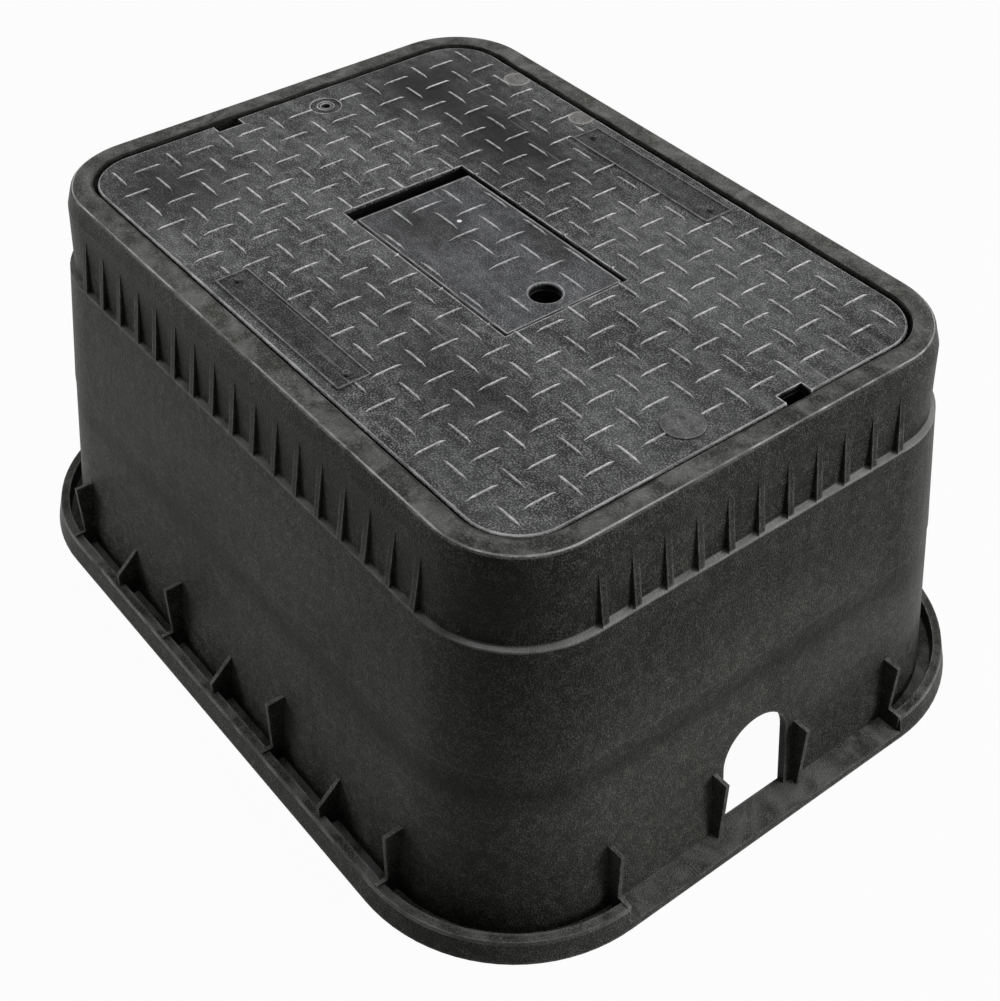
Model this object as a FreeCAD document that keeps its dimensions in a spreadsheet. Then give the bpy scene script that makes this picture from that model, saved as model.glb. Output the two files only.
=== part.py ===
import FreeCAD, Part
import math
import os
import Sketcher

# A buried water meter box in black plastic: a drafted box with an open bottom, a drop-in cover with a
# raised tread, and a small reader door hinged in the cover. Millimetres, +Z up, origin on the ground at
# the middle of the base. X runs along the long sides.

doc = FreeCAD.newDocument("water_meter_box")
sheet = doc.addObject("Spreadsheet::Sheet", "sizes")

# Driving sizes. A spread, and a fin's reach, is how far a side stands outside the rim's own outline. A core
# radius is what a corner's radius would be at no spread, so corners of one tapering stretch share an axis.
driving_sizes = [
    ("rim_length", 535.3),
    ("rim_width", 388.2),
    ("rim_chamfer", 1.5),
    ("box_height", 305.0),
    ("band_height", 13.0),
    ("band_spread", 4.0),
    ("ledge_level", 241.0),
    ("collar_spread", 7.5),
    ("collar_core_radius", 61.0),
    ("ledge_spread", 11.5),
    ("mid_level", 143.0),
    ("mid_spread", 24.3),
    ("mid_step", 0.5),
    ("wall_core_radius", 62.0),
    ("foot_spread", 41.0),
    ("box_wall", 6.0),
    ("flange_spread", 61.5),
    ("flange_core_radius", 63.5),
    ("plate_thickness", 4.5),
    ("lip_height", 18.0),
    ("lip_top_spread", 57.0),
    ("channel_spread", 50.5),
    ("collar_rib_pitch", 25.0),
    ("collar_ribs_long", 17),
    ("collar_ribs_short", 11),
    ("collar_rib_thickness", 5.0),
    ("collar_rib_drop", 22.0),
    ("fin_thickness", 3.0),
    ("end_fin_near", 38.0),
    ("end_fin_far", 130.0),
    ("end_fin_top", 61.0),
    ("end_fin_reach", 46.65),
    ("end_fin_step", 19.0),
    ("side_fin_pitch", 140.0),
    ("side_fins", 4),
    ("side_fin_top", 64.0),
    ("side_fin_reach", 47.4),
    ("side_fin_step", 20.0),
    ("side_fin_step_reach", 55.9),
    ("gussets", 3),
    ("gusset_top", 45.5),
    ("gusset_toe_height", 28.0),
    ("gusset_reach", 54.4),
    ("arch_half_width", 29.5),
    ("arch_top", 87.5),
    ("opening_length", 504.6),
    ("opening_width", 354.6),
    ("opening_radius", 42.0),
    ("seat_drop", 31.5),
    ("seat_thickness", 6.0),
    ("seat_width", 12.3),
    ("cover_gap", 3.05),
    ("cover_recess", 1.5),
    ("cover_edge_chamfer", 1.2),
    ("cover_plate", 6.0),
    ("cover_skirt", 5.0),
    ("cover_rib_thickness", 4.0),
    ("cover_rib_depth", 16.0),
    ("cover_rib_pitch_long", 170.0),
    ("cover_ribs_long", 3),
    ("cover_rib_pitch_wide", 115.0),
    ("cover_ribs_wide", 3),
    ("bar_height", 1.3),
    ("bar_width", 3.8),
    ("bar_shoulder", 4.8),
    ("bar_ridge", 8.0),
    ("cover_bar_length", 24.0),
    ("cover_tread_pitch_long", 25.0),
    ("cover_tread_pitch_wide", 22.0),
    ("cover_tread_columns", 9),
    ("cover_tread_rows", 7),
    ("panel_half_length", 72.5),
    ("panel_near", 141.0),
    ("panel_far", 166.0),
    ("panel_line_width", 1.2),
    ("panel_line_height", 0.9),
    ("stub_offset", 63.0),
    ("stub_radius", 2.3),
    ("stub_height", 2.6),
    ("dish_radius", 13.0),
    ("dish_depth", 1.2),
    ("bolt_ring_radius", 6.8),
    ("bolt_hole_radius", 3.75),
    ("disc_radius", 14.0),
    ("disc_height", 0.9),
    ("notch_near", 41.5),
    ("notch_far", 63.0),
    ("notch_depth", 9.7),
    ("door_opening_length", 183.3),
    ("door_opening_width", 103.8),
    ("door_frame_wall", 5.0),
    ("door_ledge_width", 5.0),
    ("door_ledge_thickness", 5.0),
    ("door_gap_hinge", 11.1),
    ("door_gap_end", 1.4),
    ("door_gap_side", 2.2),
    ("door_recess", 1.2),
    ("door_plate", 6.0),
    ("door_skirt", 4.0),
    ("door_depth", 14.0),
    ("door_seat_gap", 0.3),
    ("door_corner_round", 3.0),
    ("door_edge_chamfer", 1.0),
    ("door_bar_length", 28.0),
    ("door_tread_pitch", 22.0),
    ("door_tread_shift", 2.0),
    ("finger_hole_radius", 11.2),
    ("finger_hole_inset", 21.7),
    ("pin_radius", 4.0),
    ("pin_clearance", 0.08),
    ("pin_end_gap", 0.5),
    ("pin_inset", 5.5),
    ("pin_drop", 7.0),
]
for row, (alias, amount) in enumerate(driving_sizes, start=1):
    sheet.set(f"A{row}", alias)
    sheet.set(f"B{row}", str(amount))
    sheet.setAlias(f"B{row}", alias)
doc.recompute()


def value(expression):
    return float(sheet.evalExpression(expression))


def minus(expression):
    return f"-({expression})"


# Sizes that several pieces share, as expressions of the driving sizes
half_length = "(sizes.rim_length / 2)"
half_width = "(sizes.rim_width / 2)"
seat_level = "(sizes.box_height - sizes.seat_drop)"
cover_top = "(sizes.box_height - sizes.cover_recess)"
cover_half_length = "(sizes.opening_length / 2 - sizes.cover_gap)"
cover_half_width = "(sizes.opening_width / 2 - sizes.cover_gap)"
door_top = f"({cover_top} - sizes.door_recess)"
door_bottom = f"({door_top} - sizes.door_depth)"
door_hinge_end = "(-sizes.door_opening_length / 2 + sizes.door_gap_hinge)"
door_free_end = "(sizes.door_opening_length / 2 - sizes.door_gap_end)"
door_half_width = "(sizes.door_opening_width / 2 - sizes.door_gap_side)"
door_middle = f"(({door_hinge_end} + {door_free_end}) / 2)"
pin_along = f"({door_hinge_end} + sizes.pin_inset)"
pin_level = f"({door_top} - sizes.pin_drop)"
frame_half_width = "(sizes.door_opening_width / 2 + sizes.door_frame_wall)"


def collar_face(half, height):
    """The collar's side at a height, between its foot and the sloped band."""
    rise = f"({height} - sizes.ledge_level)"
    span = "(sizes.box_height - sizes.band_height - sizes.ledge_level)"
    lean = "(sizes.collar_spread - sizes.band_spread)"
    return f"({half} + sizes.collar_spread - {lean} * {rise} / {span})"


def upper_face(half, height):
    """The wall above the mid line."""
    rise = f"({height} - sizes.mid_level)"
    span = "(sizes.ledge_level - sizes.mid_level)"
    return f"({half} + sizes.mid_spread - (sizes.mid_spread - sizes.ledge_spread) * {rise} / {span})"


def lower_face(half, height):
    """The wall below the mid line."""
    lean = "(sizes.foot_spread - sizes.mid_spread + sizes.mid_step)"
    return f"({half} + sizes.foot_spread - {lean} * ({height}) / sizes.mid_level)"


def new_body(name):
    body = doc.addObject("PartDesign::Body", name)
    body.Label = name
    return body


def origin_feature(body, role):
    for feature in body.Origin.OriginFeatures:
        if feature.Role == role:
            return feature
    raise ValueError(f"the body has no {role}")


def new_sketch(body, name, role="XY_Plane", offset="0", along="0", across="0"):
    sketch = body.newObject("Sketcher::SketchObject", name)
    sketch.AttachmentSupport = [(origin_feature(body, role), "")]
    sketch.MapMode = "FlatFace"
    sketch.setExpression("AttachmentOffset.Base.x", along)
    sketch.setExpression("AttachmentOffset.Base.y", across)
    sketch.setExpression("AttachmentOffset.Base.z", offset)
    return sketch


def bind(sketch, constraint, name, expression):
    index = sketch.addConstraint(constraint)
    sketch.renameConstraint(index, name)
    sketch.setExpression(f"Constraints.{name}", expression)


def place_point(sketch, geometry, point, name, along, across):
    bind(sketch, Sketcher.Constraint("DistanceX", -1, 1, geometry, point, value(along)), f"{name}_x", along)
    bind(sketch, Sketcher.Constraint("DistanceY", -1, 1, geometry, point, value(across)), f"{name}_y", across)


def draw_polygon(sketch, points):
    """A closed outline through points given as pairs of expressions."""
    places = [FreeCAD.Vector(value(along), value(across), 0) for along, across in points]
    first = sketch.GeometryCount
    count = len(points)
    for index in range(count):
        sketch.addGeometry(Part.LineSegment(places[index], places[(index + 1) % count]))
    for index in range(count):
        following = first + (index + 1) % count
        sketch.addConstraint(Sketcher.Constraint("Coincident", first + index, 2, following, 1))
    for index, (along, across) in enumerate(points):
        place_point(sketch, first + index, 1, f"corner{first + index}", along, across)


def draw_rectangle(sketch, left, right, near, far):
    draw_polygon(sketch, [(left, near), (right, near), (right, far), (left, far)])


def draw_circle(sketch, radius, along="0", across="0"):
    centre = FreeCAD.Vector(value(along), value(across), 0)
    circle = sketch.addGeometry(Part.Circle(centre, FreeCAD.Vector(0, 0, 1), value(radius)))
    bind(sketch, Sketcher.Constraint("Radius", circle, value(radius)), f"radius{circle}", radius)
    place_point(sketch, circle, 3, f"centre{circle}", along, across)


def draw_rounded(sketch, reach, breadth, radius):
    """A rectangle with round corners about the origin, with sides at +-reach and +-breadth."""
    right, top, r = value(reach), value(breadth), value(radius)
    up = FreeCAD.Vector(0, 0, 1)
    signs = [(1, -1), (1, 1), (-1, 1), (-1, -1)]
    centres = [FreeCAD.Vector(x * (right - r), y * (top - r), 0) for x, y in signs]
    starts = [-90, 0, 90, 180]
    for index, start in enumerate(starts):
        before = centres[index - 1]
        outward = FreeCAD.Vector(math.cos(math.radians(start)), math.sin(math.radians(start)), 0) * r
        sketch.addGeometry(Part.LineSegment(before + outward, centres[index] + outward))
        circle = Part.Circle(centres[index], up, r)
        turn = (math.radians(start), math.radians(start + 90))
        sketch.addGeometry(Part.ArcOfCircle(circle, *turn))
    for index in range(8):
        sketch.addConstraint(Sketcher.Constraint("Tangent", index, 2, (index + 1) % 8, 1))
    for line in (0, 4):
        sketch.addConstraint(Sketcher.Constraint("Horizontal", line))
    for line in (2, 6):
        sketch.addConstraint(Sketcher.Constraint("Vertical", line))
    for arc in (3, 5, 7):
        sketch.addConstraint(Sketcher.Constraint("Equal", 1, arc))
    bind(sketch, Sketcher.Constraint("Radius", 1, r), "corner_radius", radius)
    bind(sketch, Sketcher.Constraint("DistanceY", -1, 1, 0, 1, -top), "near_side", minus(breadth))
    bind(sketch, Sketcher.Constraint("DistanceY", -1, 1, 4, 1, top), "far_side", breadth)
    bind(sketch, Sketcher.Constraint("DistanceX", -1, 1, 2, 1, right), "right_side", reach)
    bind(sketch, Sketcher.Constraint("DistanceX", -1, 1, 6, 1, -right), "left_side", minus(reach))


def section(body, name, level, spread, core_radius):
    """One level section of the box: the rim's outline moved out by a spread."""
    sketch = new_sketch(body, name, offset=level)
    draw_rounded(sketch, f"{half_length} + {spread}", f"{half_width} + {spread}", f"{core_radius} + {spread}")
    return sketch


def pad(body, name, sketch, length, middle=False, reversed_way=False):
    feature = body.newObject("PartDesign::Pad", name)
    feature.Profile = sketch
    feature.SideType = "Symmetric" if middle else "One side"
    feature.Reversed = reversed_way
    feature.setExpression("Length", length)
    sketch.Visibility = False
    return feature


def pocket(body, name, sketch, length, middle=False):
    feature = body.newObject("PartDesign::Pocket", name)
    feature.Profile = sketch
    feature.SideType = "Symmetric" if middle else "One side"
    feature.setExpression("Length", length)
    sketch.Visibility = False
    return feature


def loft(body, name, sections, cut=False):
    kind = "PartDesign::SubtractiveLoft" if cut else "PartDesign::AdditiveLoft"
    feature = body.newObject(kind, name)
    feature.Profile = sections[0]
    feature.Sections = sections[1:]
    feature.Ruled = True
    return feature


def pattern(body, name, original, role, spacing, count):
    feature = body.newObject("PartDesign::LinearPattern", name)
    feature.Originals = [original]
    feature.Direction = (origin_feature(body, role), [""])
    feature.Mode = "Spacing"
    feature.setExpression("Offset", spacing)
    feature.setExpression("Occurrences", count)
    body.Tip = feature
    return feature


def row_and_mirror(body, name, original, role, spacing, count, mirror_role):
    """A row of copies on one side and the same row on the other."""
    feature = body.newObject("PartDesign::MultiTransform", name)
    feature.Originals = [original]
    row = body.newObject("PartDesign::LinearPattern", f"{name}_row")
    row.Direction = (origin_feature(body, role), [""])
    row.Mode = "Spacing"
    row.setExpression("Offset", spacing)
    row.setExpression("Occurrences", count)
    other_side = body.newObject("PartDesign::Mirrored", f"{name}_other_side")
    other_side.MirrorPlane = (origin_feature(body, mirror_role), [""])
    feature.Transformations = [row, other_side]
    body.Tip = feature
    return feature


def two_mirrors(body, name, original):
    """A feature at one corner, copied to the other three."""
    feature = body.newObject("PartDesign::MultiTransform", name)
    feature.Originals = [original]
    ends = body.newObject("PartDesign::Mirrored", f"{name}_ends")
    ends.MirrorPlane = (origin_feature(body, "YZ_Plane"), [""])
    sides = body.newObject("PartDesign::Mirrored", f"{name}_sides")
    sides.MirrorPlane = (origin_feature(body, "XZ_Plane"), [""])
    feature.Transformations = [ends, sides]
    body.Tip = feature
    return feature


def edges_where(feature, wanted):
    names = [f"Edge{index}" for index, edge in enumerate(feature.Shape.Edges, start=1) if wanted(edge)]
    if not names:
        raise ValueError(f"no edge of {feature.Name} fits")
    return names


def round_edges(body, name, base, names, radius):
    feature = body.newObject("PartDesign::Fillet", name)
    feature.Base = (base, names)
    feature.setExpression("Radius", radius)
    return feature


def chamfer_edges(body, name, base, names, size):
    feature = body.newObject("PartDesign::Chamfer", name)
    feature.Base = (base, names)
    feature.setExpression("Size", size)
    return feature


def lies_at(edge, level):
    return all(abs(vertex.Point.z - level) < 0.01 for vertex in edge.Vertexes)


# The box: flange and lip first, then the walls, the ribs and fins, and last the hollow
def build_box_body():
    body = new_body("box_body")

    core = "sizes.flange_core_radius"
    flange_outline = section(body, "flange_outline", "0", "sizes.flange_spread", core)
    lip_outline = section(body, "lip_outline", "sizes.lip_height", "sizes.lip_top_spread", core)
    loft(body, "flange_and_lip", [flange_outline, lip_outline])

    channel = section(body, "channel_outline", "sizes.lip_height", "sizes.channel_spread", core)
    pocket(body, "channel", channel, "sizes.lip_height - sizes.plate_thickness")

    # The lip stops at the far fins, so the ends of the flange are a flat band
    end_band = new_sketch(body, "end_band_outline", offset="sizes.lip_height")
    beyond = f"({half_length} + sizes.flange_spread + sizes.plate_thickness)"
    draw_rectangle(end_band, minus(beyond), beyond, "-sizes.end_fin_far", "sizes.end_fin_far")
    pocket(body, "end_band", end_band, "sizes.lip_height - sizes.plate_thickness")

    core = "sizes.wall_core_radius"
    foot = section(body, "foot_section", "0", "sizes.foot_spread", core)
    below_mid = section(body, "below_mid_section", "sizes.mid_level", "(sizes.mid_spread - sizes.mid_step)", core)
    loft(body, "lower_wall", [foot, below_mid])

    above_mid = section(body, "above_mid_section", "sizes.mid_level", "sizes.mid_spread", core)
    ledge = section(body, "ledge_section", "sizes.ledge_level", "sizes.ledge_spread", core)
    loft(body, "upper_wall", [above_mid, ledge])

    core = "sizes.collar_core_radius"
    collar = section(body, "collar_section", "sizes.ledge_level", "sizes.collar_spread", core)
    band = section(body, "band_section", "sizes.box_height - sizes.band_height", "sizes.band_spread", core)
    rim = section(body, "rim_section", "sizes.box_height", "0", core)
    loft(body, "collar", [collar, band])
    collar_top = loft(body, "rim_band", [band, rim])
    doc.recompute()
    top = value("sizes.box_height")
    rim_edges = edges_where(collar_top, lambda edge: lies_at(edge, top))
    chamfer_edges(body, "rim_chamfer", collar_top, rim_edges, "sizes.rim_chamfer")

    add_collar_ribs(body)
    add_end_fins(body)
    add_side_fins(body)
    hollow_out(body)
    return body


def add_collar_ribs(body):
    bury = "sizes.box_wall / 3"
    tip = "(sizes.box_height - sizes.collar_rib_drop)"

    def profile(half):
        return [
            (f"{collar_face(half, tip)} - {bury}", tip),
            (collar_face(half, tip), tip),
            (f"{half} + sizes.ledge_spread", "sizes.ledge_level"),
            (f"{half} + sizes.collar_spread - {bury}", "sizes.ledge_level"),
        ]

    start = "-sizes.collar_rib_pitch * (sizes.collar_ribs_long - 1) / 2"
    sketch = new_sketch(body, "long_rib_profile", "YZ_Plane", offset=start)
    draw_polygon(sketch, profile(half_width))
    rib = pad(body, "long_rib", sketch, "sizes.collar_rib_thickness", middle=True)
    row_and_mirror(body, "long_ribs", rib, "X_Axis", "sizes.collar_rib_pitch", "sizes.collar_ribs_long", "XZ_Plane")

    # The sketch's normal points along -Y, so the offset counts the other way
    start = "sizes.collar_rib_pitch * (sizes.collar_ribs_short - 1) / 2"
    sketch = new_sketch(body, "short_rib_profile", "XZ_Plane", offset=start)
    draw_polygon(sketch, profile(half_length))
    rib = pad(body, "short_rib", sketch, "sizes.collar_rib_thickness", middle=True)
    row_and_mirror(body, "short_ribs", rib, "Y_Axis", "sizes.collar_rib_pitch", "sizes.collar_ribs_short", "YZ_Plane")


def add_end_fins(body):
    bury = "sizes.box_wall / 2"
    top = "sizes.end_fin_top"
    floor = "sizes.plate_thickness / 2"
    reach = f"({half_length} + sizes.end_fin_reach)"
    upright = [
        (f"{lower_face(half_length, top)} - {bury}", top),
        (reach, top),
    ]
    near = new_sketch(body, "near_fin_profile", "XZ_Plane", offset="sizes.end_fin_near")
    draw_polygon(near, upright + [
        (reach, floor),
        (f"{lower_face(half_length, floor)} - {bury}", floor),
    ])
    near_fin = pad(body, "near_fin", near, "sizes.fin_thickness", middle=True)
    two_mirrors(body, "near_fins", near_fin)

    # The far fins step out at their foot and close the end of the lip
    far = new_sketch(body, "far_fin_profile", "XZ_Plane", offset="sizes.end_fin_far")
    draw_polygon(far, upright + [
        (reach, "sizes.end_fin_step"),
        (f"{half_length} + sizes.lip_top_spread", "sizes.end_fin_step"),
        (f"{half_length} + sizes.lip_top_spread", floor),
        (f"{lower_face(half_length, floor)} - {bury}", floor),
    ])
    far_fin = pad(body, "far_fin", far, "sizes.fin_thickness", middle=True)
    two_mirrors(body, "far_fins", far_fin)


def add_side_fins(body):
    bury = "sizes.box_wall / 2"
    floor = "sizes.plate_thickness / 2"

    top = "sizes.side_fin_top"
    reach = f"({half_width} + sizes.side_fin_reach)"
    step_reach = f"({half_width} + sizes.side_fin_step_reach)"
    start = "-sizes.side_fin_pitch * (sizes.side_fins - 1) / 2"
    sketch = new_sketch(body, "side_fin_profile", "YZ_Plane", offset=start)
    draw_polygon(sketch, [
        (f"{lower_face(half_width, top)} - {bury}", top),
        (reach, top),
        (reach, "sizes.side_fin_step"),
        (step_reach, "sizes.side_fin_step"),
        (step_reach, floor),
        (f"{lower_face(half_width, floor)} - {bury}", floor),
    ])
    fin = pad(body, "side_fin", sketch, "sizes.fin_thickness", middle=True)
    row_and_mirror(body, "side_fin_rows", fin, "X_Axis", "sizes.side_fin_pitch", "sizes.side_fins", "XZ_Plane")

    top = "sizes.gusset_top"
    reach = f"({half_width} + sizes.gusset_reach)"
    start = "-sizes.side_fin_pitch * (sizes.gussets - 1) / 2"
    sketch = new_sketch(body, "gusset_profile", "YZ_Plane", offset=start)
    draw_polygon(sketch, [
        (f"{lower_face(half_width, top)} - {bury}", top),
        (lower_face(half_width, top), top),
        (reach, "sizes.gusset_toe_height"),
        (reach, floor),
        (f"{lower_face(half_width, floor)} - {bury}", floor),
    ])
    gusset = pad(body, "gusset", sketch, "sizes.fin_thickness", middle=True)
    row_and_mirror(body, "gusset_rows", gusset, "X_Axis", "sizes.side_fin_pitch", "sizes.gussets", "XZ_Plane")


def hollow_out(body):
    # The hollow follows the outside one wall further in, and ends under the cover's seat
    def inner(name, level, face, core_radius):
        reach = f"{face(half_length, level)} - sizes.box_wall"
        breadth = f"{face(half_width, level)} - sizes.box_wall"
        sketch = new_sketch(body, name, offset=level)
        draw_rounded(sketch, reach, breadth, f"{core_radius} + {reach} - {half_length}")
        return sketch

    under_ledge = "(sizes.ledge_level - sizes.box_wall)"
    under_seat = f"({seat_level} - sizes.seat_thickness)"
    core = "sizes.wall_core_radius"
    hollow_foot = inner("hollow_foot", "0", lower_face, core)
    hollow_mid = inner("hollow_mid", "sizes.mid_level", lower_face, core)
    loft(body, "lower_hollow", [hollow_foot, hollow_mid], cut=True)
    hollow_waist = inner("hollow_waist", "sizes.mid_level", upper_face, core)
    hollow_shoulder = inner("hollow_shoulder", under_ledge, upper_face, core)
    loft(body, "upper_hollow", [hollow_waist, hollow_shoulder], cut=True)
    core = "sizes.collar_core_radius"
    hollow_neck = inner("hollow_neck", under_ledge, collar_face, core)
    hollow_top = inner("hollow_top", under_seat, collar_face, core)
    loft(body, "collar_hollow", [hollow_neck, hollow_top], cut=True)

    rebate = new_sketch(body, "rebate_outline", offset="sizes.box_height")
    draw_rounded(rebate, "sizes.opening_length / 2", "sizes.opening_width / 2", "sizes.opening_radius")
    pocket(body, "rebate", rebate, "sizes.seat_drop")

    mouth = new_sketch(body, "mouth_outline", offset=seat_level)
    mouth_reach = "sizes.opening_length / 2 - sizes.seat_width"
    mouth_breadth = "sizes.opening_width / 2 - sizes.seat_width"
    draw_rounded(mouth, mouth_reach, mouth_breadth, "sizes.opening_radius - sizes.seat_width")
    pocket(body, "mouth", mouth, "sizes.seat_thickness + sizes.box_wall")

    # A pipe arch in each short wall stands on the flange plate
    arch = new_sketch(body, "arch_outline", "YZ_Plane")
    draw_arch(arch, "sizes.arch_half_width", "sizes.plate_thickness", "sizes.arch_top")
    pocket(body, "pipe_arches", arch, f"2 * ({half_length} + sizes.flange_spread)", middle=True)


def draw_arch(sketch, half_span, floor, top):
    """Upright sides under a half circle."""
    reach, low, high = value(half_span), value(floor), value(top)
    spring = high - reach
    centre = FreeCAD.Vector(0, spring, 0)
    sketch.addGeometry(Part.LineSegment(FreeCAD.Vector(-reach, low, 0), FreeCAD.Vector(reach, low, 0)))
    sketch.addGeometry(Part.LineSegment(FreeCAD.Vector(reach, low, 0), FreeCAD.Vector(reach, spring, 0)))
    circle = Part.Circle(centre, FreeCAD.Vector(0, 0, 1), reach)
    sketch.addGeometry(Part.ArcOfCircle(circle, 0, math.pi))
    sketch.addGeometry(Part.LineSegment(FreeCAD.Vector(-reach, spring, 0), FreeCAD.Vector(-reach, low, 0)))
    sketch.addConstraint(Sketcher.Constraint("Coincident", 0, 2, 1, 1))
    sketch.addConstraint(Sketcher.Constraint("Tangent", 1, 2, 2, 1))
    sketch.addConstraint(Sketcher.Constraint("Tangent", 2, 2, 3, 1))
    sketch.addConstraint(Sketcher.Constraint("Coincident", 3, 2, 0, 1))
    sketch.addConstraint(Sketcher.Constraint("Vertical", 1))
    place_point(sketch, 0, 1, "left_foot", minus(half_span), floor)
    place_point(sketch, 0, 2, "right_foot", half_span, floor)
    place_point(sketch, 2, 3, "crown_centre", "0", f"{top} - {half_span}")


# A bar cut down to less than this many cubic millimetres is left out
least_bar = 1.3
# Faces that meet this closely, in millimetres, are sewn into one solid
sewing_gap = 0.001


def tread_bar(length, lengthwise):
    """One raised bar at the origin: a long hexagon that rises to a ridge."""
    tip, side, height = length / 2, value("sizes.bar_width") / 2, value("sizes.bar_height")
    shoulder, ridge = value("sizes.bar_shoulder"), value("sizes.bar_ridge")
    turn = 0 if lengthwise else 90

    def point(along, across, level=0.0):
        return FreeCAD.Rotation(FreeCAD.Vector(0, 0, 1), turn).multVec(FreeCAD.Vector(along, across, level))

    def face(*corners):
        return Part.Face(Part.makePolygon(list(corners) + [corners[0]]))

    peaks = {way: point(way * ridge, 0, height) for way in (-1, 1)}
    tips = {way: point(way * tip, 0) for way in (-1, 1)}
    shoulders = {(way, hand): point(way * shoulder, hand * side) for way in (-1, 1) for hand in (-1, 1)}
    faces = [face(tips[1], shoulders[1, 1], shoulders[-1, 1], tips[-1], shoulders[-1, -1], shoulders[1, -1])]
    for hand in (-1, 1):
        faces.append(face(shoulders[-1, hand], shoulders[1, hand], peaks[1], peaks[-1]))
        for way in (-1, 1):
            faces.append(face(tips[way], shoulders[way, hand], peaks[way]))
    bar = Part.Solid(Part.Shell(faces))
    bar.fix(sewing_gap, sewing_gap, sewing_gap)
    return bar


def tread_object(name, layouts, length, level, bare):
    """Bars on their lattices, less what stands on the bare places."""
    master = {way: tread_bar(length, way) for way in (True, False)}
    bars = []
    for lengthwise, first, counts, pitches in layouts:
        for column in range(counts[0]):
            for row in range(counts[1]):
                bar = master[lengthwise].copy()
                bar.translate(FreeCAD.Vector(first[0] + column * pitches[0], first[1] + row * pitches[1], level))
                near_bare = [patch for patch in bare if bar.BoundBox.intersect(patch.BoundBox)]
                if near_bare:
                    bar = bar.cut(near_bare)
                bars += [solid for solid in bar.Solids if solid.Volume > least_bar]
    feature = doc.addObject("Part::Feature", name)
    feature.Shape = Part.makeCompound(bars)
    return feature


def join(name, pieces):
    fusion = doc.addObject("Part::MultiFuse", name)
    fusion.Shapes = pieces
    fusion.Refine = False
    fusion.Label = name
    return fusion


# The cover: a ribbed plate with a skirt that stands on the seat in the rim
def build_cover():
    body = new_body("cover_moulding")

    outline = new_sketch(body, "cover_outline", offset=seat_level)
    draw_rounded(outline, cover_half_length, cover_half_width, "sizes.opening_radius - sizes.cover_gap")
    block = pad(body, "cover_block", outline, f"{cover_top} - {seat_level}")
    doc.recompute()
    top_edges = edges_where(block, lambda edge: lies_at(edge, value(cover_top)))
    chamfer_edges(body, "cover_edge", block, top_edges, "sizes.cover_edge_chamfer")

    underside = new_sketch(body, "underside_outline", offset=f"{cover_top} - sizes.cover_plate")
    inner_radius = "sizes.opening_radius - sizes.cover_gap - sizes.cover_skirt"
    inner_length = f"{cover_half_length} - sizes.cover_skirt"
    inner_width = f"{cover_half_width} - sizes.cover_skirt"
    draw_rounded(underside, inner_length, inner_width, inner_radius)
    pocket(body, "underside", underside, f"{cover_top} - {seat_level} - sizes.cover_plate")

    add_underside_ribs(body)
    add_door_frame(body)
    cut_door_opening(body)
    add_panels(body)
    add_bolt_dish_and_disc(body)
    cut_pry_notches(body)

    pins = new_sketch(body, "pin_hole_outline", "XZ_Plane")
    draw_circle(pins, "sizes.pin_radius + sizes.pin_clearance", pin_along, pin_level)
    pocket(body, "pin_holes", pins, f"2 * {frame_half_width}", middle=True)
    return join("cover", [body, cover_tread()])


def add_underside_ribs(body):
    underside = f"{cover_top} - sizes.cover_plate"
    half_rib = "sizes.cover_rib_thickness / 2"

    start = "-sizes.cover_rib_pitch_wide * (sizes.cover_ribs_wide - 1) / 2"
    lengthwise = new_sketch(body, "lengthwise_rib_outline", offset=underside, across=start)
    reach = f"{cover_half_length} - sizes.cover_skirt / 2"
    draw_rectangle(lengthwise, minus(reach), reach, minus(half_rib), half_rib)
    rib = pad(body, "lengthwise_rib", lengthwise, "sizes.cover_rib_depth", reversed_way=True)
    pattern(body, "lengthwise_ribs", rib, "Y_Axis", "sizes.cover_rib_pitch_wide", "sizes.cover_ribs_wide")

    start = "-sizes.cover_rib_pitch_long * (sizes.cover_ribs_long - 1) / 2"
    crosswise = new_sketch(body, "crosswise_rib_outline", offset=underside, along=start)
    reach = f"{cover_half_width} - sizes.cover_skirt / 2"
    draw_rectangle(crosswise, minus(half_rib), half_rib, minus(reach), reach)
    rib = pad(body, "crosswise_rib", crosswise, "sizes.cover_rib_depth", reversed_way=True)
    pattern(body, "crosswise_ribs", rib, "X_Axis", "sizes.cover_rib_pitch_long", "sizes.cover_ribs_long")


def add_door_frame(body):
    """The block below the plate from which the door's opening, ledge and pin holes are cut."""
    frame = new_sketch(body, "door_frame_outline", offset=f"{cover_top} - sizes.cover_plate")
    reach = "sizes.door_opening_length / 2 + sizes.door_frame_wall"
    draw_rectangle(frame, minus(reach), reach, minus(frame_half_width), frame_half_width)
    ledge_bottom = f"({door_bottom} - sizes.door_seat_gap - sizes.door_ledge_thickness)"
    pad(body, "door_frame", frame, f"{cover_top} - sizes.cover_plate - {ledge_bottom}", reversed_way=True)


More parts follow.
